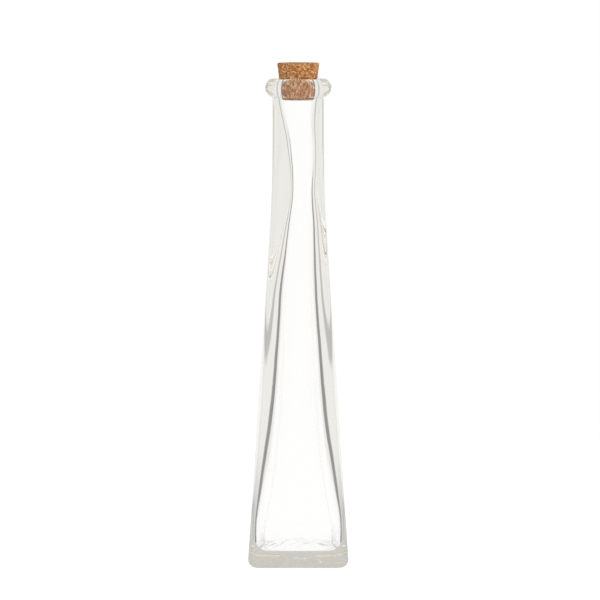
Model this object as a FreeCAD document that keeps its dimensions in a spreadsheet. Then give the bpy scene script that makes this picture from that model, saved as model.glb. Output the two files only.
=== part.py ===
"""A tall four-sided pyramid bottle of clear glass, shut with a tapered cork.

Millimetres, +Z up. The origin is at the centre of the foot, on the surface that the bottle stands on.
X and Y are square to the flat sides.
"""

import FreeCAD, Part
import os
import Sketcher
from FreeCAD import Placement, Rotation, Vector

SIZES = {
    # the outside of the glass
    "baseWidth": 52.9,  # across the flats, where the sides run out at the foot
    "baseCorner": 7.0,  # corner radius in plan at the foot
    "heelRadius": 4.2,  # round between the sides and the foot
    "pyramidHeight": 195.0,  # foot to where the sloping sides end
    "topCorner": 9.4,  # corner radius in plan where the sloping sides end
    "neckLength": 59.2,  # from there to the top of the lip
    "neckDiameter": 27.1,
    "shoulderHeight": 23.0,  # over which the square turns into the round neck
    "lipHeight": 9.5,
    "lipMiddle": 4.8,  # how far above the neck the lip is widest
    "lipOverhang": 3.7,  # of the lip past the neck
    "lipRounding": 3.0,  # how far the round of the lip's top reaches inwards
    # the glass between the outside and the inside
    "mouthRadius": 2.1,  # of the mouth's rounded edge
    "mouthFlare": 0.8,  # how much wider in radius the bore gets along the cork
    "neckWall": 4.95,
    "throatWall": 7.45,  # at the thick shoulder, where the bore is narrowest
    "throatRise": 0.5,  # from the end of the sloping sides to there
    "throatFlare": 0.3,  # how much wider in radius its top is
    "throatCurve": 30.0,  # radius, along the bottle, of the bends at its ends
    "boreRise": 13.0,  # length over which the throat widens to the neck's full bore
    "boreBelowCork": 4.0,  # length of the full bore under the cork
    "coneHeight": 86.0,  # above this the inside is round
    "coneWall": 3.4,
    "bellyHeight": 49.0,
    "bellyWall": 3.0,
    "bellyCorner": 12.2,  # corner radius in plan of the inside there
    "footHeight": 23.0,  # below this the inside is upright
    "footWall": 2.45,
    "footCorner": 6.8,
    "floorThickness": 7.6,  # at the edge of the floor
    "floorBevel": 3.4,  # height over which the floor rises into the sides
    "floorInset": 2.8,  # how far that bevel reaches inwards, and the corners with it
    "floorRim": 2.5,  # level edge round the dome of the floor
    "floorRise": 4.4,  # of the dome
    "footRing": 8.2,  # from the sides to the hollow under the foot
    "puntDepth": 4.2,  # of that hollow
    # the cork
    "corkLength": 19.2,
    "corkDepth": 11.0,  # how far it is pushed in
    "corkSqueeze": 0.1,  # how much its end is squeezed, in radius
    "corkTaper": 0.122,  # what it gains in radius for each millimetre of its length
    "corkEdge": 0.35,  # bevel round its top
    "corkClearance": 0.15,  # between the cork and the glass round it
}

# sizes that follow from those
TOP = "( pyramidHeight + neckLength )"
NECK_END = f"( {TOP} - lipHeight )"
LIP_RADIUS = "( neckDiameter / 2 + lipOverhang )"
SEAT_RADIUS = "( neckDiameter / 2 - neckWall )"
MOUTH_BORE = f"( {SEAT_RADIUS} + mouthFlare )"
CORK_END = f"( {TOP} - corkDepth )"
BORE_FOOT = f"( {CORK_END} - boreBelowCork )"
THROAT_TOP = f"( {BORE_FOOT} - boreRise )"
THROAT_FOOT = "( pyramidHeight + throatRise )"
THROAT_RADIUS = "( neckDiameter / 2 - throatWall )"
MOUTH_CENTRE = (f"{MOUTH_BORE} + mouthRadius", f"{TOP} - mouthRadius")
ABOVE = f"{TOP} + corkLength"

HEEL_STEPS = 6  # outlines that make up the rounded heel

doc = FreeCAD.newDocument("PyramidBottle")
sheet = doc.addObject("Spreadsheet::Sheet", "Sizes")
for row, (word, size) in enumerate(SIZES.items(), start=1):
    sheet.set(f"A{row}", word)
    sheet.set(f"B{row}", str(size))
    sheet.setAlias(f"B{row}", word)
doc.recompute()


def formula(words):
    """The sizes in a formula, written as the sheet's cells."""
    tokens = words.split()
    return " ".join(f"Sizes.{token}" if token in SIZES else token for token in tokens)


def value(words):
    """What a formula comes to."""
    result = sheet.evalExpression(formula(words))
    return float(getattr(result, "Value", result))


def width_at(height):
    """How wide the sloping sides are across the flats at a height."""
    return f"( baseWidth - ( baseWidth - neckDiameter ) * {height} / pyramidHeight )"


def new_body(name):
    body = doc.addObject("PartDesign::Body", name)
    body.Label = name
    return body


def new_sketch(body, name, plane, height="0"):
    """A sketch on one of the body's own planes, lifted to a height."""
    sketch = body.newObject("Sketcher::SketchObject", name)
    support = next(f for f in body.Origin.OriginFeatures if f.Role == plane)
    sketch.AttachmentSupport = [(support, "")]
    sketch.MapMode = "FlatFace"
    sketch.AttachmentOffset = Placement(Vector(0, 0, value(height)), Rotation())
    if height != "0":
        sketch.setExpression("AttachmentOffset.Base.z", formula(height))
    return sketch


def dimension(sketch, kind, name, words, *places):
    """A named dimension whose size is a formula of the sheet's cells."""
    index = sketch.addConstraint(Sketcher.Constraint(kind, *places, value(words)))
    sketch.renameConstraint(index, name)
    sketch.setExpression(f"Constraints.{name}", formula(words))


def join_ends(sketch, edges, kind):
    """Joins the end of each edge to the start of the next one, all the way round."""
    for edge, following in zip(edges, edges[1:] + edges[:1]):
        sketch.addConstraint(Sketcher.Constraint(kind, edge, 2, following, 1))


def rounded_square(body, name, height, width, corner):
    """A square with round corners, centred on Z, at a height."""
    sketch = new_sketch(body, name, "XY_Plane", height)
    half, radius = value(width) / 2, value(corner)
    flat = half - radius
    sides, corners = [], []
    for quarter in range(4):
        turn = Rotation(Vector(0, 0, 1), 90 * quarter)
        start, end = (turn.multVec(Vector(half, y, 0)) for y in (-flat, flat))
        middle = turn.multVec(Vector(flat, flat, 0) + Vector(1, 1, 0).normalize() * radius)
        after = turn.multVec(Vector(flat, half, 0))
        sides.append(sketch.addGeometry(Part.LineSegment(start, end)))
        corners.append(sketch.addGeometry(Part.Arc(end, middle, after)))
    right, top, left, bottom = sides
    join_ends(sketch, [edge for pair in zip(sides, corners) for edge in pair], "Tangent")
    sketch.addConstraint(Sketcher.Constraint("Vertical", left))
    sketch.addConstraint(Sketcher.Constraint("Horizontal", bottom))
    for following in corners[1:]:
        sketch.addConstraint(Sketcher.Constraint("Equal", corners[0], following))
    sketch.addConstraint(Sketcher.Constraint("Equal", right, top))
    sketch.addConstraint(Sketcher.Constraint("Symmetric", right, 1, right, 2, -1))
    sketch.addConstraint(Sketcher.Constraint("Symmetric", top, 1, top, 2, -2))
    dimension(sketch, "DistanceX", "halfWidth", f"( {width} ) / 2", -1, 1, right, 1)
    dimension(sketch, "Radius", "corner", corner, corners[0])
    return sketch


def split_circle(body, name, height, diameter, flat):
    """A circle of eight arcs whose joints line up with those of a rounded square with that flat."""
    sketch = new_sketch(body, name, "XY_Plane", height)
    radius, half_flat = value(diameter) / 2, value(flat) / 2
    reach = (radius**2 - half_flat**2) ** 0.5
    diagonal = radius / 2**0.5
    sides, corners = [], []
    for quarter in range(4):
        turn = Rotation(Vector(0, 0, 1), 90 * quarter)
        start, end = (turn.multVec(Vector(reach, y, 0)) for y in (-half_flat, half_flat))
        middle = turn.multVec(Vector(diagonal, diagonal, 0))
        after = turn.multVec(Vector(half_flat, reach, 0))
        sides.append(sketch.addGeometry(Part.Arc(start, turn.multVec(Vector(radius, 0, 0)), end)))
        corners.append(sketch.addGeometry(Part.Arc(end, middle, after)))
    arcs = [edge for pair in zip(sides, corners) for edge in pair]
    join_ends(sketch, arcs, "Coincident")
    for arc in arcs[:-1]:
        sketch.addConstraint(Sketcher.Constraint("Coincident", arc, 3, -1, 1))
    sketch.addConstraint(Sketcher.Constraint("PointOnObject", arcs[-1], 3, -1))
    dimension(sketch, "Radius", "radius", f"( {diameter} ) / 2", arcs[0])
    for number, side in enumerate(sides):
        level, across = ("Vertical", "DistanceY") if number % 2 == 0 else ("Horizontal", "DistanceX")
        first, second = (1, 2) if number in (0, 3) else (2, 1)
        sketch.addConstraint(Sketcher.Constraint(level, side, 1, side, 2))
        dimension(sketch, across, f"flat{number}", flat, side, first, side, second)
    return sketch


def outline(body, name, corners, arcs=()):
    """A closed outline in the plane of X and Z.

    corners are (radius, height) formulas in order. arcs maps the number of a corner to the
    centre, as formulas, of the arc that runs from it to the next corner the short way.
    """
    sketch = new_sketch(body, name, "XZ_Plane")
    arcs = dict(arcs)
    points = [Vector(value(radius), value(height), 0) for radius, height in corners]
    edges, ends = [], []
    for number, start in enumerate(points):
        end = points[(number + 1) % len(points)]
        if number in arcs:
            centre = Vector(*(value(words) for words in arcs[number]), 0)
            away = ((start + end) / 2 - centre).normalize()
            shape = Part.Arc(start, centre + away * (start - centre).Length, end)
            clockwise = (start - centre).cross(end - centre).z < 0
        else:
            shape = Part.LineSegment(start, end)
            clockwise = False
        edges.append(sketch.addGeometry(shape))
        ends.append((2, 1) if clockwise else (1, 2))  # a sketch keeps its arcs anticlockwise
    for number, edge in enumerate(edges):
        first = ends[number][0]
        before, last = edges[number - 1], ends[number - 1][1]
        sketch.addConstraint(Sketcher.Constraint("Coincident", before, last, edge, first))
        pin(sketch, f"corner{number}", corners[number], edge, first)
        if number in arcs:
            pin(sketch, f"centre{number}", arcs[number], edge, 3, whole=False)
    return sketch


def pin(sketch, name, place, edge, end, whole=True):
    """Holds a point at its radius and height. An arc's centre needs only one, as its ends are held."""
    radius, height = place
    for kind, words, axis in (("DistanceX", radius, -2), ("DistanceY", height, -1)):
        if abs(value(words)) < 1e-9:
            sketch.addConstraint(Sketcher.Constraint("PointOnObject", edge, end, axis))
        else:
            dimension(sketch, kind, name + kind[-1], words, -1, 1, edge, end)
        if not whole:
            return


def loft(body, kind, name, sketches):
    feature = body.newObject(f"PartDesign::{kind}", name)
    feature.Profile = sketches[0]
    feature.Sections = sketches[1:]
    feature.Ruled = True
    doc.recompute()
    return feature


def turned(body, kind, name, sketch):
    feature = body.newObject(f"PartDesign::{kind}", name)
    feature.Profile = sketch
    feature.ReferenceAxis = (sketch, ["V_Axis"])
    feature.Angle = 360
    doc.recompute()
    return feature


def rounded(body, name, feature, heights, radius):
    """Rounds the edges of a feature that lie level at any of these heights."""
    levels = [value(height) for height in heights]
    edges = []
    for number, edge in enumerate(feature.Shape.Edges, start=1):
        box = edge.BoundBox
        if box.ZLength < 1e-3 and any(abs(box.ZMin - level) < 1e-3 for level in levels):
            edges.append(f"Edge{number}")
    fillet = body.newObject("PartDesign::Fillet", name)
    fillet.Base = (feature, edges)
    fillet.Radius = value(radius)
    fillet.setExpression("Radius", formula(radius))
    doc.recompute()
    return fillet


def adds(feature, before):
    """Stops the build if a feature that should add glass or cork didn't."""
    assert feature.Shape.Volume > before + 1, f"{feature.Name} added nothing"
    return feature.Shape.Volume


def cuts(feature, before):
    """Stops the build if a feature that should cut didn't."""
    assert feature.Shape.Volume < before - 1, f"{feature.Name} cut nothing"
    return feature.Shape.Volume


def make_bottle():
    bottle = new_body("bottle")
    volume = outside_of(bottle)
    inside_of(bottle, volume)
    return bottle


def outside_of(bottle):
    sections = [heel_section(bottle, step) for step in range(HEEL_STEPS + 1)]
    top = rounded_square(bottle, "PyramidTop", "pyramidHeight", "neckDiameter", "topCorner")
    volume = adds(loft(bottle, "AdditiveLoft", "Pyramid", [*sections, top]), 0)
    flat = "neckDiameter - 2 * topCorner"
    neck = split_circle(bottle, "NeckFoot", "pyramidHeight + shoulderHeight", "neckDiameter", flat)
    ring = split_circle(bottle, "NeckTop", NECK_END, "neckDiameter", flat)
    volume = adds(loft(bottle, "AdditiveLoft", "Neck", [top, neck, ring]), volume)
    return adds(turned(bottle, "Revolution", "Lip", lip_outline(bottle)), volume)


def heel_section(bottle, step):
    """One outline of the rounded heel, from the foot (step 0) to where the flat sides start."""
    turn = 90 * step / HEEL_STEPS
    height = f"heelRadius * ( 1 - cos( {turn} ) )"
    inset = f"heelRadius * ( 1 - sin( {turn} ) )"
    width = f"{width_at(height)} - 2 * {inset}"
    return rounded_square(bottle, f"Heel{step}", height, width, f"baseCorner - {inset}")


def lip_outline(bottle):
    """The bead round the mouth: two arcs that meet where it is widest, and a rounded top."""
    widest = f"{NECK_END} + lipMiddle"
    corners = [
        ("0", NECK_END),
        ("neckDiameter / 2", NECK_END),
        (LIP_RADIUS, widest),
        (f"{LIP_RADIUS} - lipRounding", TOP),
        ("0", TOP),
    ]
    lower = (arc_centre(LIP_RADIUS, "lipOverhang", "lipMiddle"), widest)
    upper = (arc_centre(LIP_RADIUS, "lipRounding", "( lipHeight - lipMiddle )"), widest)
    return outline(bottle, "LipOutline", corners, {1: lower, 2: upper})


def arc_centre(outer, run, rise):
    """How far from the axis the centre lies of an arc that starts upright at outer and runs inwards."""
    return f"{outer} - ( {run} ^ 2 + {rise} ^ 2 ) / ( 2 * {run} )"


def seat_corners(gap):
    """The bore from the end of the cork to the mouth's rounded edge, with a gap inside it."""
    return [
        (f"{SEAT_RADIUS} - {gap}", CORK_END),
        (f"{MOUTH_BORE} - {gap}", f"{TOP} - mouthRadius"),
        (f"{MOUTH_BORE} + mouthRadius", f"{TOP} + {gap}"),
    ]


def inside_of(bottle, volume):
    bore = turned(bottle, "Groove", "Bore", bore_outline(bottle))
    volume = cuts(bore, volume)
    bends = rounded(bottle, "ThroatBends", bore, [THROAT_FOOT, THROAT_TOP, BORE_FOOT], "throatCurve")
    volume = bends.Shape.Volume
    belly = f"{width_at('bellyHeight')} - 2 * bellyWall"
    foot = f"{width_at('footHeight')} - 2 * footWall"
    floor, floor_corner = f"{foot} - 2 * floorInset", "footCorner - floorInset"
    sections = [
        split_circle(bottle, "ConeFoot", "coneHeight", f"2 * {cone_radius()}", f"{belly} - 2 * bellyCorner"),
        rounded_square(bottle, "Belly", "bellyHeight", belly, "bellyCorner"),
        rounded_square(bottle, "Foot", "footHeight", foot, "footCorner"),
        rounded_square(bottle, "FloorBevel", "floorThickness + floorBevel", foot, "footCorner"),
        rounded_square(bottle, "Floor", "floorThickness", floor, floor_corner),
    ]
    volume = cuts(loft(bottle, "SubtractiveLoft", "Hollow", sections), volume)
    dome = f"( {floor} ) / 2 - floorRim"
    floor_dome = dome_outline(bottle, "DomeOutline", dome, "floorRise", "floorThickness")
    volume = adds(turned(bottle, "Revolution", "FloorDome", floor_dome), volume)
    punt = dome_outline(bottle, "PuntOutline", "baseWidth / 2 - footRing", "puntDepth", "0")
    cuts(turned(bottle, "Groove", "Punt", punt), volume)


def cone_radius():
    """Where the round part of the inside starts."""
    return f"( {width_at('coneHeight')} / 2 - coneWall )"


def bore_outline(bottle):
    """Everything inside that is round: the body's upper cone, the throat, the neck and the mouth."""
    corners = [
        ("0", "coneHeight"),
        (cone_radius(), "coneHeight"),
        (THROAT_RADIUS, THROAT_FOOT),
        (f"{THROAT_RADIUS} + throatFlare", THROAT_TOP),
        (SEAT_RADIUS, BORE_FOOT),
        *seat_corners("0"),
        (f"{MOUTH_BORE} + mouthRadius", ABOVE),
        ("0", ABOVE),
    ]
    return outline(bottle, "BoreOutline", corners, {6: MOUTH_CENTRE})


def dome_outline(body, name, radius, rise, height):
    """Half of a flat dome on a level base."""
    corners = [("0", height), (radius, height), ("0", f"{height} + {rise}")]
    drop = f"( ( {radius} ) ^ 2 - {rise} ^ 2 ) / ( 2 * {rise} )"
    return outline(body, name, corners, {1: ("0", f"{height} - {drop}")})


def make_cork():
    cork = new_body("cork")
    top = f"{CORK_END} + corkLength"
    end_radius = f"( {SEAT_RADIUS} + corkSqueeze )"
    top_radius = f"( {end_radius} + corkTaper * corkLength )"
    free = [
        ("0", CORK_END),
        (end_radius, CORK_END),
        (top_radius, f"{top} - corkEdge"),
        (f"{top_radius} - corkEdge", top),
        ("0", top),
    ]
    volume = adds(turned(cork, "Revolution", "FreeCork", outline(cork, "CorkOutline", free)), 0)
    seat = seat_corners("corkClearance")
    clear = f"2 * {top_radius}"
    ring = [*seat, (clear, seat[2][1]), (clear, CORK_END)]
    squeeze = outline(cork, "SqueezeOutline", ring, {1: MOUTH_CENTRE})
    cuts(turned(cork, "Groove", "Squeeze", squeeze), volume)
    return cork


def write(pieces):
    """Checks every object and writes each piece as parts/NODE.step."""
    doc.recompute()
    failed = [o.Name for o in doc.Objects if {"Invalid", "Error"} & set(o.State)]
    assert not failed, f"these objects failed: {failed}"
    os.makedirs("parts", exist_ok=True)
    for piece in pieces:
        shape = piece.Shape
        assert not shape.isNull() and shape.isValid(), f"{piece.Label} is not a valid solid"
        assert len(shape.Solids) == 1, f"{piece.Label} is not one solid"
        shape.exportStep(f"parts/{piece.Label}.step")
        box = shape.BoundBox
        print(f"{piece.Label}: {shape.Volume / 1000:.2f} cm3, {box.XLength:.2f} x {box.YLength:.2f}"
              f" x {box.ZLength:.2f} mm, from z {box.ZMin:.2f}")


write([make_bottle(), make_cork()])
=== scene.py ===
import math

import bpy
import numpy as np
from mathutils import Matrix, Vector


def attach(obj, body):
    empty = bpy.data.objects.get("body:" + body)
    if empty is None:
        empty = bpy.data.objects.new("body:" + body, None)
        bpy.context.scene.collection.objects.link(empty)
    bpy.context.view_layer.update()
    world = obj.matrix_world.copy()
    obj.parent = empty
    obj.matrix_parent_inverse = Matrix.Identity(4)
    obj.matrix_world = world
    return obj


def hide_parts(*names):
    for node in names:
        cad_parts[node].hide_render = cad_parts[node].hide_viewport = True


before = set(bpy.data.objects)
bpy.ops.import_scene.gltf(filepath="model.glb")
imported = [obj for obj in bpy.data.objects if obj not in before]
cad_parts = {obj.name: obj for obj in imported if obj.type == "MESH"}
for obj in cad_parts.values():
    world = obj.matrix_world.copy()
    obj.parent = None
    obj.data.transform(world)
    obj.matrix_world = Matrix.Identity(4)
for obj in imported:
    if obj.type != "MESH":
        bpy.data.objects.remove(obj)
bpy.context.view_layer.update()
print("frame loaded")

mm = 0.001


def meshFromGrid(name, points, closeStart=True, closeEnd=True):
    # points is rows x columns x 3; columns run round the piece, rows from one pole to the other
    rows, columns = points.shape[:2]
    verts = points.reshape(-1, 3)
    row = np.arange(rows - 1)[:, None] * columns
    here = np.arange(columns)[None, :]
    nextOne = (here + 1) % columns
    quads = np.stack([row + here, row + nextOne, row + columns + nextOne, row + columns + here], -1)
    faces = quads.reshape(-1, 4).tolist()
    poles = []
    if closeStart:
        poles.append(points[0].mean(0))
        centre = len(verts)
        ring = np.arange(columns)
        faces += np.stack([np.full(columns, centre), np.roll(ring, -1), ring], -1).tolist()
    if closeEnd:
        centre = len(verts) + len(poles)
        poles.append(points[-1].mean(0))
        ring = np.arange(columns) + (rows - 1) * columns
        faces += np.stack([np.full(columns, centre), ring, np.roll(ring, -1)], -1).tolist()
    if poles:
        verts = np.vstack([verts, np.array(poles)])
    mesh = bpy.data.meshes.new(name)
    mesh.from_pydata(verts.tolist(), [], faces)
    mesh.update()
    mesh.shade_smooth()
    piece = bpy.data.objects.new(name, mesh)
    bpy.context.scene.collection.objects.link(piece)
    return piece


def smoothed(values, width):
    # a running bell-shaped average along the first axis, with the ends held
    reach = int(3 * width)
    bell = np.exp(-0.5 * (np.arange(-reach, reach + 1) / width) ** 2)
    bell /= bell.sum()
    padded = np.concatenate([np.full(reach, values[0]), values, np.full(reach, values[-1])])
    return np.convolve(padded, bell, mode="valid")


def eased(values, start, full):
    # nought up to start, one from full on, and smooth between
    share = np.clip((values - start) / (full - start), 0, 1)
    return share * share * (3 - 2 * share)


def arcPoints(centre, radius, start, end, count):
    # points on an arc in the plane of radius and height, angles in degrees
    angle = np.radians(np.linspace(start, end, count))
    return np.stack([centre[0] + radius * np.cos(angle), centre[1] + radius * np.sin(angle)], -1)


bottle = {
    "baseWidth": 52.9, "baseCorner": 7.0, "heel": 4.2,
    "pyramidHeight": 195.0, "topCorner": 9.4,
    "height": 254.2, "neckRadius": 13.55, "shoulder": 23.0,
    "lipHeight": 9.5, "lipMiddle": 4.8, "lipOverhang": 3.7, "lipRounding": 3.0,
    "mouthRadius": 2.1, "boreRadius": 8.6, "mouthFlare": 0.8,
    # inside: height, half width, corner radius as a share of it, shift to the right
    "inside": [
        (243.2, 8.60, 1.0, -0.2), (239.2, 8.45, 1.0, -0.4), (233.0, 7.00, 1.0, -0.1), (226.0, 6.30, 1.0, 0.9),
        (216.0, 5.90, 1.0, 1.6), (197.0, 5.80, 1.0, 1.7), (190.0, 6.60, 1.0, 1.4),
        (180.0, 8.00, 1.0, 1.0), (169.0, 9.10, 1.0, 0.7), (148.0, 11.4, 1.0, 0.0), (138.0, 12.4, 1.0, 0.0),
        (86.0, 17.3, 1.0, 0.0), (49.0, 20.2, 0.61, 0.0), (23.0, 22.4, 0.31, 0.0), (11.0, 22.6, 0.29, 0.0),
    ],
    "floorEdge": 7.6, "floorRise": 4.4, "floorHalf": 19.5,
    "puntDepth": 4.2, "puntRadius": 18.0,
    "floorBevel": 3.4, "bend": 6.0, "flatColumns": 12, "cornerColumns": 32,
    # blur of the inside's half width, corner share and shift, in rows of this height
    "blurs": (10, 16, 13), "fineStep": 0.4,
    # where the inside's rows change their spacing
    "closeRows": (226, 150),
    # a corner share above this starts to turn the square into a circle
    "squareUpTo": 0.75,
    # the flats of a circle's twin, as a share of its radius
    "circleFlat": 0.306,
    # the inside isn't quite true: depth in mm, height of one wave, waves round the bottle, phase
    "waves": [(0.040, 74.0, 2, 0.4), (0.012, 31.0, -3, 2.1), (0.005, 15.0, 4, 4.0)],
    # the waves end at these heights and fade over these lengths
    "wavesTop": (236, 8), "wavesFoot": (12, 6),
    # lumps of the floor and of the hollow foot: depth, length along x and along y, phase
    "lumps": [
        (0.085, 9.0, 14.0, 0.3), (0.065, -7.0, 9.5, 1.9),
        (0.050, 5.2, -6.5, 3.3), (0.030, 3.6, 4.4, 5.0),
    ],
    # the lumps reach this far from the middle and fade over this length
    "floorLumps": (22.0, 4), "puntFade": 3,
}


def roundedSquare(halfWidth, corner, flatSteps, cornerSteps):
    # a square with round corners: each side's flat, then the quarter circle after it, four times
    flat = halfWidth - corner
    side = flat * np.linspace(-1, 1, flatSteps, endpoint=False)
    sideX = np.broadcast_to(halfWidth, side.shape)
    angle = np.linspace(0, math.pi / 2, cornerSteps, endpoint=False)
    cornerX = flat + corner * np.cos(angle)
    cornerY = flat + corner * np.sin(angle)
    return turnedFourTimes(np.concatenate([sideX, cornerX], 1), np.concatenate([side, cornerY], 1))


def splitCircle(radius, flatHalf, flatSteps, cornerSteps):
    # the same count of points on a circle, so that each lies beside its twin on the rounded square
    edge = np.arcsin(flatHalf / radius)
    side = edge * np.linspace(-1, 1, flatSteps, endpoint=False)
    share = np.linspace(0, 1, cornerSteps, endpoint=False)
    angle = np.concatenate([side, edge + (math.pi / 2 - 2 * edge) * share], 1)
    return turnedFourTimes(radius * np.cos(angle), radius * np.sin(angle))


def turnedFourTimes(x, y):
    quarters = [(x, y), (-y, x), (-x, -y), (y, -x)]
    return [np.concatenate(parts, 1) for parts in zip(*quarters)]


# every row of the bottle: height, half width, corner radius, roundness (0 square, 1 circle), shift in x


def hollowRows():
    # under the foot a flat dome, then the ring that the bottle stands on
    depth, radius = bottle["puntDepth"], bottle["puntRadius"]
    ring = bottle["baseWidth"] / 2 - bottle["heel"]
    sag = (radius**2 - depth**2) / (2 * depth)
    domeRadius = depth + sag
    rows = [
        (math.sqrt(domeRadius**2 - reach**2) - sag, reach, reach, 1.0, 0.0)
        for reach in radius * np.linspace(0.02, 1, 34)
    ]
    rows.append((0.0, radius + 1.0, radius + 0.5, 0.7, 0.0))
    rows.append((0.0, ring - 0.6, ring * 0.6, 0.25, 0.0))
    return rows


def sideRows():
    # the round heel, the sloping sides, then the square that turns into the round neck
    half, neck, tall = bottle["baseWidth"] / 2, bottle["neckRadius"], bottle["pyramidHeight"]
    heel, shoulder, bend = bottle["heel"], bottle["shoulder"], bottle["bend"]
    corner, topCorner = bottle["baseCorner"], bottle["topCorner"]
    slope = (half - neck) / tall
    rows = []
    for turn in np.radians(np.linspace(0, 90, 12)):
        height = heel * (1 - math.cos(turn))
        inset = heel * (1 - math.sin(turn))
        rows.append((height, half - slope * height - inset, corner - inset, 0.0, 0.0))
    for height in np.concatenate([np.linspace(heel + 3, 145, 18), np.arange(148, tall - 8, 1.2)]):
        share = height / tall
        rows.append((height, half - slope * height, corner + (topCorner - corner) * share, 0.0, 0.0))
    for height in np.arange(tall - 7, tall + shoulder + 4, 0.8):
        halfWidth = neck + slope * bend * math.log1p(math.exp((tall - height) / bend))
        rows.append((height, halfWidth, topCorner, eased(height, tall - 6, tall + shoulder + 2), 0.0))
    neckFoot = bottle["height"] - bottle["lipHeight"]
    for height in np.linspace(tall + shoulder + 6, neckFoot - 0.6, 10):
        rows.append((height, neck, topCorner, 1.0, 0.0))
    return rows


def lipRows():
    # the bead of the lip is two arcs that meet where it is widest, and a third runs into the mouth
    overhang, middle, rounding = bottle["lipOverhang"], bottle["lipMiddle"], bottle["lipRounding"]
    widest = bottle["height"] - bottle["lipHeight"] + middle
    lipRadius = bottle["neckRadius"] + overhang
    rise = bottle["lipHeight"] - middle
    lower = (overhang**2 + middle**2) / (2 * overhang)
    upper = (rounding**2 + rise**2) / (2 * rounding)
    start, end = -math.degrees(math.asin(middle / lower)), math.degrees(math.asin(rise / upper))
    bead = np.vstack([
        arcPoints((lipRadius - lower, widest), lower, start, 0, 14),
        arcPoints((lipRadius - upper, widest), upper, 5, end, 14),
    ])
    rows = [(height, reach, bottle["topCorner"], 1.0, 0.0) for reach, height in bead]
    rounded = bottle["mouthRadius"]
    centre = (bottle["boreRadius"] + bottle["mouthFlare"] + rounded, bottle["height"] - rounded)
    mouth = arcPoints(centre, rounded, 90, 180, 10)
    return rows + [(height, reach, reach * 0.7, 1.0, 0.0) for reach, height in mouth]


def insideRows():
    # the inside follows its knots, blurred over a few millimetres, with closer rows at the shoulder
    top = bottle["height"] - bottle["mouthRadius"]
    foot = bottle["floorEdge"] + bottle["floorBevel"]
    upperEnd, lowerEnd = bottle["closeRows"]
    square = bottle["squareUpTo"]
    mouth = [top, bottle["boreRadius"] + bottle["mouthFlare"], 1.0, 0.0]
    heights, *columns = np.vstack([mouth, bottle["inside"]])[::-1].T
    fine = np.arange(foot, top, bottle["fineStep"])
    width, share, shift = (
        smoothed(np.interp(fine, heights, column), blur) for column, blur in zip(columns, bottle["blurs"])
    )
    rows = []
    for start, stop, step in ((top - 1.0, upperEnd, 1.2), (upperEnd, lowerEnd, 0.62), (lowerEnd, foot, 1.6)):
        for height in np.arange(start, stop, -step):
            halfWidth, corner, across = (np.interp(height, fine, values) for values in (width, share, shift))
            roundness = max(0.0, (corner - square) / (1 - square))
            rows.append((height, halfWidth, halfWidth * min(corner, square), roundness, across))
    return rows


def floorRows(lowest):
    # a rounded edge from the lowest row of the inside, then the dome
    height, halfWidth, corner = lowest[:3]
    edge, half = bottle["floorEdge"], bottle["floorHalf"]
    rows = []
    for turn in np.radians(np.linspace(0, 90, 9)[1:]):
        inset = (halfWidth - half) * (1 - math.cos(turn))
        down = (height - edge) * math.sin(turn)
        rows.append((height - down, halfWidth - inset, corner - inset * 0.9, 0.0, 0.0))
    for share in np.linspace(0, 1, 40)[1:-1]:
        reach = half * (1 - share)
        rise = bottle["floorRise"] * (0.5 - 0.5 * math.cos(math.pi * share))
        rows.append((edge + rise, reach, reach * 0.25, min(1.0, share * 2.0), 0.0))
    return rows


def makeBottle():
    # a blend of rounded square and circle in every row, from the hollow foot up the outside, over the
    # lip and down the inside to the floor
    hollow = hollowRows()
    outer = hollow + sideRows() + lipRows()
    inner = insideRows()
    rows = np.array(outer + inner + floorRows(inner[-1]))
    height, halfWidth, corner, roundness, shift = rows.T[..., None]
    flatHalf = np.minimum(halfWidth - corner, halfWidth * 0.5)
    flatHalf = np.where(roundness > 0.99, halfWidth * bottle["circleFlat"], flatHalf)
    counts = bottle["flatColumns"], bottle["cornerColumns"]
    squareX, squareY = roundedSquare(halfWidth, corner, *counts)
    circleX, circleY = splitCircle(halfWidth, flatHalf, *counts)
    x = squareX * (1 - roundness) + circleX * roundness
    y = squareY * (1 - roundness) + circleY * roundness
    number = np.arange(len(rows))[:, None]
    inside = number >= len(outer)
    # slanting waves swell and thin the wall from inside, below the cork only
    turn = np.arctan2(y, x)
    swell = sum(deep * np.sin(2 * math.pi * height / rise + count * turn + phase)
                for deep, rise, count, phase in bottle["waves"])
    (top, topFade), (foot, footFade) = bottle["wavesTop"], bottle["wavesFoot"]
    free = np.clip((top - height) / topFade, 0, 1) * np.clip((height - foot) / footFade, 0, 1) * inside
    grow = 1 + swell * free / halfWidth
    x = x * grow + shift
    y = y * grow
    # lumps where the hot glass met the floor of the mould, fading towards the edges
    lump = sum(deep * np.sin(2 * math.pi * (x / along + y / across) + phase)
               for deep, along, across, phase in bottle["lumps"])
    reach = np.hypot(x, y)
    floor = inside & (height < bottle["floorEdge"] + bottle["floorRise"] + 0.1)
    far, fade = bottle["floorLumps"]
    share = np.clip((bottle["puntRadius"] - reach) / bottle["puntFade"], 0, 1) * (number < len(hollow))
    share += np.clip((far - reach) / fade, 0, 1) * floor
    return meshFromGrid("glassBottle", np.stack([x, y, height + lump * share], -1) * mm)


glass = makeBottle()
print("bottle made", len(glass.data.polygons))


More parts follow.
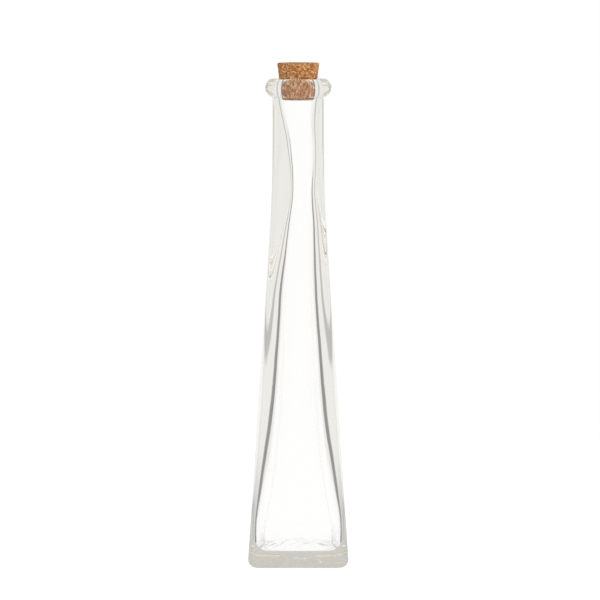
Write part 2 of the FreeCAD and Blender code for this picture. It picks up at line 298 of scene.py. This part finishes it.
cork = {
    "end": 243.2, "top": 262.4, "endRadius": 8.7, "taper": 0.122, "edge": 0.45,
    "clearance": 0.15, "seatRadius": 8.6, "mouthBore": 9.4, "mouthHeight": 252.1, "mouthRounding": 2.1,
    "rows": 96, "columns": 300, "seed": 11,
    # depth of the pits between the crumbs and how far apart they lie, in mm
    "crumbs": [(0.07, 0.9), (0.06, 0.45)],
    # how far a crumb's bump is blurred, and how much of the field is cut off below and above
    "blur": 2.2, "cutBelow": -0.6, "height": 3, "rowSize": 0.25, "meanRadius": 10,
    # rings that close each end, where their pits fade out, and the bevel at the lower end
    "endRings": 26, "endFade": 4, "lowerEdge": 0.3, "mouthMargin": 0.3,
}


def crumbField(rows, columns, rowSize, columnSize, spread, dice):
    # random heights blurred to bumps of the given spread, wrapped round the columns
    field = dice.standard_normal((rows, columns))
    down = np.fft.fftfreq(rows)[:, None] / rowSize
    around = np.fft.fftfreq(columns)[None, :] / columnSize
    blur = np.exp(-0.5 * ((down**2 + around**2) * (spread * cork["blur"]) ** 2))
    field = np.fft.ifft2(np.fft.fft2(field) * blur).real
    return field / field.std()


def boreRound(height):
    # the room for the cork: the bore widens up to the mouth's rounded edge and is free above it
    mouth, rounding = cork["mouthHeight"], cork["mouthRounding"]
    bore = np.interp(height, [cork["end"], mouth], [cork["seatRadius"], cork["mouthBore"]])
    above = np.clip(height - mouth, 0, rounding)
    bore = bore + rounding - np.sqrt(rounding**2 - above**2) - cork["clearance"]
    return np.where(height > mouth + rounding - cork["mouthMargin"], math.inf, bore)


def makeCork():
    # a cone with pitted sides: radius from height, held inside the mouth, less the pits' depth;
    # the ends are rings that run in to the middle with the same pits
    dice = np.random.default_rng(cork["seed"])
    end, top, columns, rings = cork["end"], cork["top"], cork["columns"], cork["endRings"]
    height = np.linspace(end, top, cork["rows"])
    radius = np.minimum(cork["endRadius"] + cork["taper"] * (height - end), boreRound(height))
    radius -= np.clip(cork["edge"] - (top - height), 0, None)
    radius -= np.clip(cork["lowerEdge"] - (height - end), 0, None)
    ends = np.linspace(0.03, 0.97, rings)
    reach = np.concatenate([ends * radius[0], radius, ends[::-1] * radius[-1]])[:, None]
    level = np.concatenate([np.full(rings, end), height, np.full(rings, top)])[:, None]
    turn = np.linspace(0, 2 * math.pi, columns, endpoint=False)
    depth = 0
    for deep, spread in cork["crumbs"]:
        columnSize = 2 * math.pi * cork["meanRadius"] / columns
        field = crumbField(len(reach), columns, cork["rowSize"], columnSize, spread, dice)
        depth = depth + deep * np.clip(field - cork["cutBelow"], 0, cork["height"])
    number = np.arange(len(reach))[:, None]
    below, above = number < rings, number >= rings + cork["rows"]
    middle = np.clip(reach / cork["endFade"], 0, 1)
    across = reach - depth * ~(below | above)
    lift = level + depth * middle * below - depth * middle * above
    points = np.stack([across * np.cos(turn), across * np.sin(turn), lift], -1)
    return meshFromGrid("corkStopper", points * mm)


stopper = makeCork()
print("cork made", len(stopper.data.polygons))


def newMaterial(name):
    material = bpy.data.materials.new(name)
    material.use_nodes = True
    nodes = material.node_tree.nodes
    nodes.clear()
    return material, nodes, material.node_tree.links


glassLook = {"bend": 1.5, "absorbs": (0.90, 0.88, 0.80), "density": 9.0}


def glassMaterial():
    material, nodes, links = newMaterial("clearGlass")
    out = nodes.new("ShaderNodeOutputMaterial")
    shader = nodes.new("ShaderNodeBsdfPrincipled")
    shader.inputs["Base Color"].default_value = (1, 1, 1, 1)
    shader.inputs["Roughness"].default_value = 0.0
    shader.inputs["IOR"].default_value = glassLook["bend"]
    shader.inputs["Transmission Weight"].default_value = 1.0
    links.new(shader.outputs[0], out.inputs["Surface"])
    absorb = nodes.new("ShaderNodeVolumeAbsorption")
    absorb.inputs["Color"].default_value = (*glassLook["absorbs"], 1)
    absorb.inputs["Density"].default_value = glassLook["density"]
    links.new(absorb.outputs[0], out.inputs["Volume"])
    return material


corkLook = {
    "crumb": 1500.0, "fleck": 5200.0, "blotch": 260.0, "specular": 0.25,
    # how far the cells are pushed about, and how fine that is against the crumbs
    "push": 0.0006, "strayScale": 1.3,
    # how much of the tone comes from the crumb itself, the flecks and the blotches
    "ownTone": (0.95, 0.10), "fleckTone": (0.5, 1.5), "blotchTone": (0.42, 0.55),
    # a seam's width and how much darker it is: the binder's colour and painted shade in the crevices between
    # crumbs
    "seam": (0.12, -0.22),
    "roughness": (0.3, 0.66), "relief": (0.4, 0.25, 3.0), "bump": (0.75, 0.00028),
    # share along the tones, then red, green, blue
    "tones": [
        (0.0, 0.19, 0.046, 0.010), (0.20, 0.38, 0.120, 0.027), (0.45, 0.56, 0.205, 0.054),
        (0.70, 0.68, 0.295, 0.092), (0.88, 0.88, 0.450, 0.180), (1.0, 0.98, 0.660, 0.360),
    ],
}


def corkMaterial():
    # crumbs of bark pressed together: each cell of a Voronoi pattern takes its own tone, flecked
    # inside by fine noise, with darker seams between the cells for the binder and painted shade in the
    # crevices, and slow blotches over all
    material, nodes, links = newMaterial("agglomeratedCork")
    out = nodes.new("ShaderNodeOutputMaterial")
    shader = nodes.new("ShaderNodeBsdfPrincipled")
    shader.inputs["Specular IOR Level"].default_value = corkLook["specular"]
    links.new(shader.outputs[0], out.inputs["Surface"])
    where = nodes.new("ShaderNodeTexCoord")

    def noise(scale, detail, rough):
        node = nodes.new("ShaderNodeTexNoise")
        node.inputs["Scale"].default_value = scale
        node.inputs["Detail"].default_value = detail
        node.inputs["Roughness"].default_value = rough
        links.new(where.outputs["Object"], node.inputs["Vector"])
        return node.outputs["Fac"]

    def sums(operation, first, second, third=None):
        node = nodes.new("ShaderNodeMath")
        node.operation = operation
        for number, term in enumerate((first, second, third)):
            if isinstance(term, (int, float)):
                node.inputs[number].default_value = term
            elif term is not None:
                links.new(term, node.inputs[number])
        return node.outputs[0]

    # the cells are pushed about a little, so that no edge is straight
    stray = nodes.new("ShaderNodeTexNoise")
    stray.inputs["Scale"].default_value = corkLook["crumb"] * corkLook["strayScale"]
    links.new(where.outputs["Object"], stray.inputs["Vector"])
    centred = nodes.new("ShaderNodeVectorMath")
    centred.operation = "SUBTRACT"
    links.new(stray.outputs["Color"], centred.inputs[0])
    centred.inputs[1].default_value = (0.5, 0.5, 0.5)
    pushed = nodes.new("ShaderNodeVectorMath")
    pushed.operation = "MULTIPLY_ADD"
    links.new(centred.outputs[0], pushed.inputs[0])
    pushed.inputs[1].default_value = [corkLook["push"]] * 3
    links.new(where.outputs["Object"], pushed.inputs[2])
    cells = nodes.new("ShaderNodeTexVoronoi")
    cells.inputs["Scale"].default_value = corkLook["crumb"]
    links.new(pushed.outputs[0], cells.inputs["Vector"])
    seams = nodes.new("ShaderNodeTexVoronoi")
    seams.feature = "DISTANCE_TO_EDGE"
    seams.inputs["Scale"].default_value = corkLook["crumb"]
    links.new(pushed.outputs[0], seams.inputs["Vector"])
    own = nodes.new("ShaderNodeSeparateColor")
    links.new(cells.outputs["Color"], own.inputs[0])
    fleck = noise(corkLook["fleck"], 3.0, 0.6)
    blotch = noise(corkLook["blotch"], 2.0, 0.5)
    tone = sums("MULTIPLY_ADD", own.outputs[0], *corkLook["ownTone"])
    for pattern, (middle, share) in ((fleck, corkLook["fleckTone"]), (blotch, corkLook["blotchTone"])):
        tone = sums("MULTIPLY_ADD", sums("SUBTRACT", pattern, middle), share, tone)
    # darker seams: the binder's own colour and painted shade in the crevices between crumbs
    seamWidth, seamAndCreviceShade = corkLook["seam"]
    seam = nodes.new("ShaderNodeMapRange")
    seam.inputs["From Max"].default_value = seamWidth
    seam.inputs["To Min"].default_value = seamAndCreviceShade
    seam.inputs["To Max"].default_value = 0.0
    links.new(seams.outputs["Distance"], seam.inputs["Value"])
    tone = sums("ADD", tone, seam.outputs["Result"])
    ramp = nodes.new("ShaderNodeValToRGB")
    elements = ramp.color_ramp.elements
    for number, (place, *colour) in enumerate(corkLook["tones"]):
        element = elements[number] if number < 2 else elements.new(place)
        element.position = place
        element.color = (*colour, 1)
    links.new(tone, ramp.inputs[0])
    links.new(ramp.outputs[0], shader.inputs["Base Color"])
    links.new(sums("MULTIPLY_ADD", fleck, *corkLook["roughness"]), shader.inputs["Roughness"])
    fleckHeight, crumbWidth, crumbHeight = corkLook["relief"]
    crumbs = sums("MULTIPLY", sums("MINIMUM", seams.outputs["Distance"], crumbWidth), crumbHeight)
    relief = sums("MULTIPLY_ADD", fleck, fleckHeight, crumbs)
    bump = nodes.new("ShaderNodeBump")
    strength, distance = corkLook["bump"]
    bump.inputs["Strength"].default_value = strength
    bump.inputs["Distance"].default_value = distance
    links.new(relief, bump.inputs["Height"])
    links.new(bump.outputs[0], shader.inputs["Normal"])
    return material


glass.data.materials.append(glassMaterial())
stopper.data.materials.append(corkMaterial())
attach(glass, "root")
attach(stopper, "root")
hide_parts("bottle")
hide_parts("cork")


studio = {
    "cameraDistance": 1.94, "cameraHeight": 0.325, "target": (0.0009, 0.0, 0.1383), "lens": 223.1,
    "floorRadius": 0.5, "floorShade": 0.38, "floorGlow": 0.85, "plainLight": 0.66,
    "keyPower": 14.0, "keySize": (0.8, 1.7), "keyPlace": (1.45, -1.5, 0.75), "keyAim": (0, 0, 0.2),
    # light may be thrown about inside the walls many times
    "throughBounces": 24, "glossBounces": 32, "allBounces": 48,
}


# a pale screen round the bottle, with two straight cards on each side and a grey skirt round the
# foot. The camera and plain surfaces don't see it, and only thick glass and reflections see its tones.
# Angles are in degrees from straight behind and the same to the left and right, heights in mm, tones
# from 0 to 1
screens = {
    "radius": 0.075, "height": 300.0, "columns": 360, "rows": 151,
    "pale": 0.85, "tint": (1.0, 0.985, 0.95), "soft": 0.4, "open": (105.0, 115.0),
    "skirt": 0.6, "skirtEnd": (30.0, 70.0),
    # light that has crossed fewer surfaces of the glass than this sees the tones
    "crossings": 3.5,
    # tone, angle at the foot, angle at the top, half the width
    "cards": [(0.25, 95.0, 85.0, 5.0), (0.5, 70.0, 50.0, 5.0)],
}


def screenColours(angle, height):
    # pale, greyer towards the foot, then each card where the angle is within half its width of the
    # line that it leans along, with soft edges, and white where the front is left open
    up = height / screens["height"]
    tone = screens["skirt"] + (screens["pale"] - screens["skirt"]) * eased(height, *screens["skirtEnd"])
    for shade, low, high, half in screens["cards"]:
        away = np.abs(np.abs(angle) - (low + (high - low) * up)) / half
        share = 1 - eased(away, 1 - screens["soft"], 1 + screens["soft"])
        tone = tone * (1 - share) + shade * share
    front = eased(np.abs(angle), *screens["open"])[..., None]
    return tone[..., None] * np.array(screens["tint"]) * (1 - front) + front


def makeScreens():
    columns, rows = screens["columns"], screens["rows"]
    angle = (np.arange(columns) + 0.5) * 360 / columns - 180
    angle, height = np.meshgrid(angle, np.linspace(0, screens["height"], rows))
    turn = np.radians(angle)
    points = np.stack([np.sin(turn) * screens["radius"], np.cos(turn) * screens["radius"], height * mm], -1)
    ring = meshFromGrid("studioScreens", points, closeStart=False, closeEnd=False)
    tones = ring.data.color_attributes.new("tone", "FLOAT_COLOR", "POINT")
    colour = np.concatenate([screenColours(angle, height), np.ones(angle.shape + (1,))], -1)
    tones.data.foreach_set("color", colour.reshape(-1))
    material, nodes, links = newMaterial("screenGlow")
    out = nodes.new("ShaderNodeOutputMaterial")
    path = nodes.new("ShaderNodeLightPath")
    tone = nodes.new("ShaderNodeVertexColor")
    tone.layer_name = "tone"
    mix = nodes.new("ShaderNodeMix")
    mix.data_type = "RGBA"
    mix.inputs["A"].default_value = (1, 1, 1, 1)
    links.new(throughThickGlass(nodes, links, path), mix.inputs["Factor"])
    links.new(tone.outputs["Color"], mix.inputs["B"])
    glow = nodes.new("ShaderNodeEmission")
    links.new(mix.outputs["Result"], glow.inputs["Color"])
    links.new(glow.outputs[0], out.inputs["Surface"])
    ring.data.materials.append(material)
    ring.visible_camera = False
    ring.visible_diffuse = False
    ring.visible_shadow = False


def makeWorld():
    world = bpy.data.worlds.new("studioWorld")
    bpy.context.scene.world = world
    world.use_nodes = True
    nodes, links = world.node_tree.nodes, world.node_tree.links
    nodes.clear()
    out = nodes.new("ShaderNodeOutputWorld")
    path = nodes.new("ShaderNodeLightPath")
    plain = nodes.new("ShaderNodeBackground")
    plain.inputs["Color"].default_value = (1, 1, 1, 1)
    plain.inputs["Strength"].default_value = studio["plainLight"]
    white = nodes.new("ShaderNodeBackground")
    white.inputs["Color"].default_value = (1, 1, 1, 1)
    sees = nodes.new("ShaderNodeMath")
    sees.operation = "MAXIMUM"
    links.new(seenInGlass(nodes, links, path), sees.inputs[0])
    links.new(path.outputs["Is Camera Ray"], sees.inputs[1])
    mix = nodes.new("ShaderNodeMixShader")
    links.new(sees.outputs[0], mix.inputs[0])
    links.new(plain.outputs[0], mix.inputs[1])
    links.new(white.outputs[0], mix.inputs[2])
    links.new(mix.outputs[0], out.inputs["Surface"])


def seenInGlass(nodes, links, path):
    sees = nodes.new("ShaderNodeMath")
    sees.operation = "MAXIMUM"
    links.new(path.outputs["Is Glossy Ray"], sees.inputs[0])
    links.new(path.outputs["Is Transmission Ray"], sees.inputs[1])
    return sees.outputs[0]


def throughThickGlass(nodes, links, path):
    # light that stayed in the wall crosses two surfaces, and a reflection none; through the empty
    # middle it crosses four
    fewer = nodes.new("ShaderNodeMath")
    fewer.operation = "LESS_THAN"
    links.new(path.outputs["Transmission Depth"], fewer.inputs[0])
    fewer.inputs[1].default_value = screens["crossings"]
    return fewer.outputs[0]


def makeFloor():
    angle = np.linspace(0, 2 * math.pi, 96, endpoint=False)
    rim = np.stack([np.cos(angle), np.sin(angle), 0 * angle], -1) * studio["floorRadius"]
    mesh = bpy.data.meshes.new("studioFloor")
    mesh.from_pydata(rim.tolist(), [], [list(range(len(rim)))])
    floor = bpy.data.objects.new("studioFloor", mesh)
    bpy.context.scene.collection.objects.link(floor)
    material, nodes, links = newMaterial("paleFloor")
    out = nodes.new("ShaderNodeOutputMaterial")
    path = nodes.new("ShaderNodeLightPath")
    lit = nodes.new("ShaderNodeBsdfDiffuse")
    shade = studio["floorShade"]
    lit.inputs["Color"].default_value = (shade, shade, shade, 1)
    glow = nodes.new("ShaderNodeEmission")
    glow.inputs["Strength"].default_value = studio["floorGlow"]
    both = nodes.new("ShaderNodeAddShader")
    links.new(lit.outputs[0], both.inputs[0])
    links.new(glow.outputs[0], both.inputs[1])
    # in the thick glass the floor glows in the skirt's grey, a painted shadow of the bottle on the floor
    # beneath it, and elsewhere glass shows it white
    paintedShadowTone = nodes.new("ShaderNodeMix")
    paintedShadowTone.data_type = "RGBA"
    paintedShadowTone.inputs["A"].default_value = (1, 1, 1, 1)
    paintedShadowTone.inputs["B"].default_value = (*(screens["skirt"] * part for part in screens["tint"]), 1)
    links.new(throughThickGlass(nodes, links, path), paintedShadowTone.inputs["Factor"])
    inGlass = nodes.new("ShaderNodeEmission")
    links.new(paintedShadowTone.outputs["Result"], inGlass.inputs["Color"])
    mix = nodes.new("ShaderNodeMixShader")
    links.new(seenInGlass(nodes, links, path), mix.inputs[0])
    links.new(both.outputs[0], mix.inputs[1])
    links.new(inGlass.outputs[0], mix.inputs[2])
    links.new(mix.outputs[0], out.inputs["Surface"])
    floor.data.materials.append(material)


def makeStudio():
    scene = bpy.context.scene
    makeWorld()
    makeFloor()
    makeScreens()

    lamp = bpy.data.lights.new("softKey", "AREA")
    lamp.shape = "RECTANGLE"
    lamp.energy = studio["keyPower"]
    lamp.size, lamp.size_y = studio["keySize"]
    key = bpy.data.objects.new("softKey", lamp)
    key.location = studio["keyPlace"]
    aimAt(key, studio["keyAim"])
    scene.collection.objects.link(key)

    cameraData = bpy.data.cameras.new("camera")
    cameraData.lens = studio["lens"]
    cameraData.sensor_width = 36
    cameraData.clip_end = 50
    camera = bpy.data.objects.new("camera", cameraData)
    camera.location = (studio["target"][0], -studio["cameraDistance"], studio["cameraHeight"])
    aimAt(camera, studio["target"])
    scene.collection.objects.link(camera)
    scene.camera = camera
    scene.view_settings.view_transform = "Standard"
    scene.cycles.transmission_bounces = studio["throughBounces"]
    scene.cycles.glossy_bounces = studio["glossBounces"]
    scene.cycles.max_bounces = studio["allBounces"]


def aimAt(thing, target):
    way = Vector(target) - Vector(thing.location)
    thing.rotation_euler = way.to_track_quat("-Z", "Y").to_euler()


makeStudio()
print("studio made")
